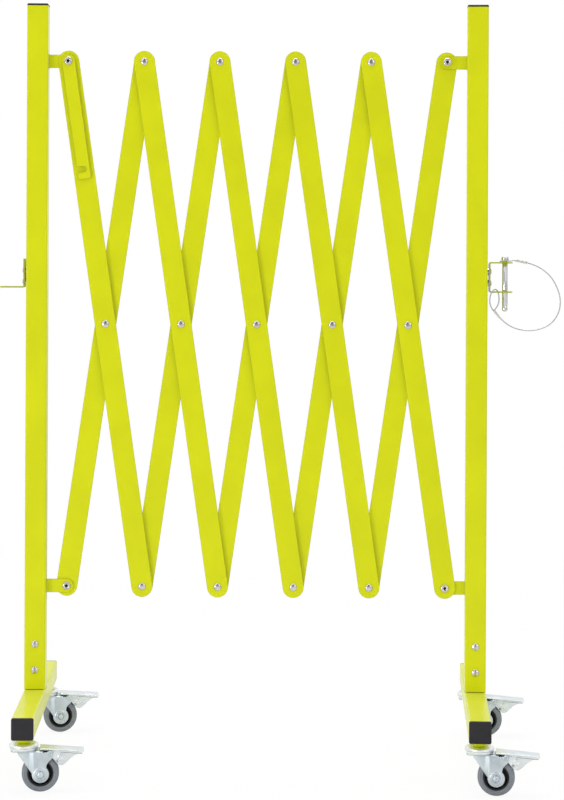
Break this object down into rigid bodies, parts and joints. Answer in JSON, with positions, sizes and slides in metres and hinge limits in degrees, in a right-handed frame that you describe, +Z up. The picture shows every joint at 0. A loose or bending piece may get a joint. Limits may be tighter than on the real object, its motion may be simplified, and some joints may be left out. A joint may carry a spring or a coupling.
{
  "type": "expandable safety barrier",
  "caption": "Wheeled folding barrier: two square posts on braked castor feet joined by a scissor lattice of flat bars, with a latch strap, a hook plate and a pinned coupling.",
  "frame": {"origin": "on the floor, under the middle of the bounding box of everything but the wire lanyard", "axes": "+X from the left post to the right post, +Y to the rear, +Z up"},
  "size_m": [0.8049, 0.4032, 1.081],
  "materials": {
    "yellow_paint": "gloss",
    "black_plastic": "satin",
    "shoe_plastic": "satin",
    "grey_tyre": "matte",
    "zinc_plate": "satin",
    "bright_steel": "polished",
    "wire_rope": "satin"
  },
  "bodies": {
    "left end": {"left_post": "yellow_paint", "left_foot": "yellow_paint", "left_end_caps": "black_plastic", "left_fasteners": "bright_steel", "hook_bracket": "yellow_paint", "top_pivot_screw": "bright_steel", "left_castor_heads": "zinc_plate"},
    "right end": {"right_post": "yellow_paint", "right_foot": "yellow_paint", "right_end_caps": "black_plastic", "right_fasteners": "bright_steel", "coupling_bracket": "yellow_paint", "catch_screw": "bright_steel", "right_castor_heads": "zinc_plate", "lanyard_cable": "wire_rope", "lanyard_ferrules": "bright_steel"},
    "latch": {"latch_strap": "yellow_paint"},
    "lock pin": {"lock_pin": "bright_steel"},
    "left slider": {"left_slider_lug": "yellow_paint", "left_slider_shoe": "shoe_plastic", "left_slider_screw": "bright_steel"},
    "right slider": {"right_slider_lug": "yellow_paint", "right_slider_shoe": "shoe_plastic", "right_slider_screw": "bright_steel"},
    "front bar 1": {"front_bar_1": "yellow_paint", "front_bar_1_rivets": "bright_steel"},
    "rear bar 1": {"rear_bar_1": "yellow_paint"},
    "front bar 2": {"front_bar_2": "yellow_paint", "front_bar_2_rivets": "bright_steel"},
    "rear bar 2": {"rear_bar_2": "yellow_paint"},
    "front bar 3": {"front_bar_3": "yellow_paint", "front_bar_3_rivets": "bright_steel"},
    "rear bar 3": {"rear_bar_3": "yellow_paint"},
    "front bar 4": {"front_bar_4": "yellow_paint", "front_bar_4_rivets": "bright_steel"},
    "rear bar 4": {"rear_bar_4": "yellow_paint"},
    "front bar 5": {"front_bar_5": "yellow_paint", "front_bar_5_rivets": "bright_steel"},
    "rear bar 5": {"rear_bar_5": "yellow_paint"},
    "left front fork": {"left_front_castor_fork": "zinc_plate", "left_front_castor_pins": "zinc_plate"},
    "left front wheel": {"left_front_castor_core": "black_plastic", "left_front_castor_tyre": "grey_tyre"},
    "left front pedal": {"left_front_castor_pedal": "zinc_plate"},
    "left rear fork": {"left_rear_castor_fork": "zinc_plate", "left_rear_castor_pins": "zinc_plate"},
    "left rear wheel": {"left_rear_castor_core": "black_plastic", "left_rear_castor_tyre": "grey_tyre"},
    "left rear pedal": {"left_rear_castor_pedal": "zinc_plate"},
    "right front fork": {"right_front_castor_fork": "zinc_plate", "right_front_castor_pins": "zinc_plate"},
    "right front wheel": {"right_front_castor_core": "black_plastic", "right_front_castor_tyre": "grey_tyre"},
    "right front pedal": {"right_front_castor_pedal": "zinc_plate"},
    "right rear fork": {"right_rear_castor_fork": "zinc_plate", "right_rear_castor_pins": "zinc_plate"},
    "right rear wheel": {"right_rear_castor_core": "black_plastic", "right_rear_castor_tyre": "grey_tyre"},
    "right rear pedal": {"right_rear_castor_pedal": "zinc_plate"}
  },
  "joints": [
    {"name": "lattice fold", "type": "hinge", "parent": "left end", "child": "front bar 1", "pos_m": [-0.28771, -0.00121, 0.99946], "axis": [0, -1, 0], "range_deg": [-5.84, 27.8]},
    {"name": "middle rivet 1", "type": "hinge", "parent": "front bar 1", "child": "rear bar 1", "pos_m": [-0.23367, -0.00121, 0.62443], "axis": [0, 1, 0], "range_deg": [-11.68, 55.6]},
    {"name": "top rivet 1", "type": "hinge", "parent": "rear bar 1", "child": "front bar 2", "pos_m": [-0.17963, -0.00121, 0.99946], "axis": [0, -1, 0], "range_deg": [-11.68, 55.6]},
    {"name": "middle rivet 2", "type": "hinge", "parent": "front bar 2", "child": "rear bar 2", "pos_m": [-0.12558, -0.00121, 0.62443], "axis": [0, 1, 0], "range_deg": [-11.68, 55.6]},
    {"name": "top rivet 2", "type": "hinge", "parent": "rear bar 2", "child": "front bar 3", "pos_m": [-0.07154, -0.00121, 0.99946], "axis": [0, -1, 0], "range_deg": [-11.68, 55.6]},
    {"name": "middle rivet 3", "type": "hinge", "parent": "front bar 3", "child": "rear bar 3", "pos_m": [-0.0175, -0.00121, 0.62443], "axis": [0, 1, 0], "range_deg": [-11.68, 55.6]},
    {"name": "top rivet 3", "type": "hinge", "parent": "rear bar 3", "child": "front bar 4", "pos_m": [0.03654, -0.00121, 0.99946], "axis": [0, -1, 0], "range_deg": [-11.68, 55.6]},
    {"name": "middle rivet 4", "type": "hinge", "parent": "front bar 4", "child": "rear bar 4", "pos_m": [0.09058, -0.00121, 0.62443], "axis": [0, 1, 0], "range_deg": [-11.68, 55.6]},
    {"name": "top rivet 4", "type": "hinge", "parent": "rear bar 4", "child": "front bar 5", "pos_m": [0.14463, -0.00121, 0.99946], "axis": [0, -1, 0], "range_deg": [-11.68, 55.6]},
    {"name": "middle rivet 5", "type": "hinge", "parent": "front bar 5", "child": "rear bar 5", "pos_m": [0.19867, -0.00121, 0.62443], "axis": [0, 1, 0], "range_deg": [-11.68, 55.6]},
    {"name": "right post pivot", "type": "hinge", "parent": "rear bar 5", "child": "right end", "pos_m": [0.25271, -0.00121, 0.99946], "axis": [0, -1, 0], "range_deg": [-5.84, 27.8]},
    {"name": "left slider pivot", "type": "hinge", "parent": "rear bar 1", "child": "left slider", "pos_m": [-0.28771, -0.00121, 0.2494], "axis": [0, -1, 0], "range_deg": [-5.84, 27.8]},
    {"name": "right slider pivot", "type": "hinge", "parent": "front bar 5", "child": "right slider", "pos_m": [0.25271, -0.00121, 0.2494], "axis": [0, 1, 0], "range_deg": [-5.84, 27.8]},
    {"name": "latch swing", "type": "hinge", "parent": "front bar 1", "child": "latch", "pos_m": [-0.28771, -0.00121, 0.99946], "axis": [0, -1, 0], "range_deg": [-5, 120]},
    {"name": "lock pin lift", "type": "slide", "parent": "right end", "child": "lock pin", "axis": [0, 0, 1], "range_m": [0, 0.075]},
    {"name": "left front swivel", "type": "hinge", "parent": "left end", "child": "left front fork", "pos_m": [-0.32438, -0.17605, 0.073], "axis": [0, 0, 1], "continuous": true},
    {"name": "left front wheel spin", "type": "hinge", "parent": "left front fork", "child": "left front wheel", "pos_m": [-0.30214, -0.17336, 0.025], "axis": [-0.1201, 0.9928, 0], "continuous": true},
    {"name": "left front brake", "type": "hinge", "parent": "left front fork", "child": "left front pedal", "pos_m": [-0.28963, -0.17185, 0.0524], "axis": [0.1201, -0.9928, 0], "range_deg": [0, 7]},
    {"name": "left rear swivel", "type": "hinge", "parent": "left end", "child": "left rear fork", "pos_m": [-0.33904, 0.17364, 0.073], "axis": [0, 0, 1], "continuous": true},
    {"name": "left rear wheel spin", "type": "hinge", "parent": "left rear fork", "child": "left rear wheel", "pos_m": [-0.31704, 0.17788, 0.025], "axis": [-0.1891, 0.982, 0], "continuous": true},
    {"name": "left rear brake", "type": "hinge", "parent": "left rear fork", "child": "left rear pedal", "pos_m": [-0.30467, 0.18026, 0.0524], "axis": [0.1891, -0.982, 0], "range_deg": [0, 7]},
    {"name": "right front swivel", "type": "hinge", "parent": "right end", "child": "right front fork", "pos_m": [0.28877, -0.17603, 0.073], "axis": [0, 0, 1], "continuous": true},
    {"name": "right front wheel spin", "type": "hinge", "parent": "right front fork", "child": "right front wheel", "pos_m": [0.31108, -0.17802, 0.025], "axis": [0.0889, 0.996, 0], "continuous": true},
    {"name": "right front brake", "type": "hinge", "parent": "right front fork", "child": "right front pedal", "pos_m": [0.32364, -0.17914, 0.0524], "axis": [-0.0889, -0.996, 0], "range_deg": [0, 7]},
    {"name": "right rear swivel", "type": "hinge", "parent": "right end", "child": "right rear fork", "pos_m": [0.30465, 0.17361, 0.073], "axis": [0, 0, 1], "continuous": true},
    {"name": "right rear wheel spin", "type": "hinge", "parent": "right rear fork", "child": "right rear wheel", "pos_m": [0.32698, 0.17182, 0.025], "axis": [0.0802, 0.9968, 0], "continuous": true},
    {"name": "right rear brake", "type": "hinge", "parent": "right rear fork", "child": "right rear pedal", "pos_m": [0.33954, 0.17081, 0.0524], "axis": [-0.0802, -0.9968, 0], "range_deg": [0, 7]}
  ],
  "couplings": [
    {"joint": "middle rivet 1", "follows": "lattice fold", "ratio": 2},
    {"joint": "top rivet 1", "follows": "lattice fold", "ratio": 2},
    {"joint": "middle rivet 2", "follows": "lattice fold", "ratio": 2},
    {"joint": "top rivet 2", "follows": "lattice fold", "ratio": 2},
    {"joint": "middle rivet 3", "follows": "lattice fold", "ratio": 2},
    {"joint": "top rivet 3", "follows": "lattice fold", "ratio": 2},
    {"joint": "middle rivet 4", "follows": "lattice fold", "ratio": 2},
    {"joint": "top rivet 4", "follows": "lattice fold", "ratio": 2},
    {"joint": "middle rivet 5", "follows": "lattice fold", "ratio": 2},
    {"joint": "right post pivot", "follows": "lattice fold", "ratio": 1},
    {"joint": "left slider pivot", "follows": "lattice fold", "ratio": 1},
    {"joint": "right slider pivot", "follows": "lattice fold", "ratio": 1}
  ]
}
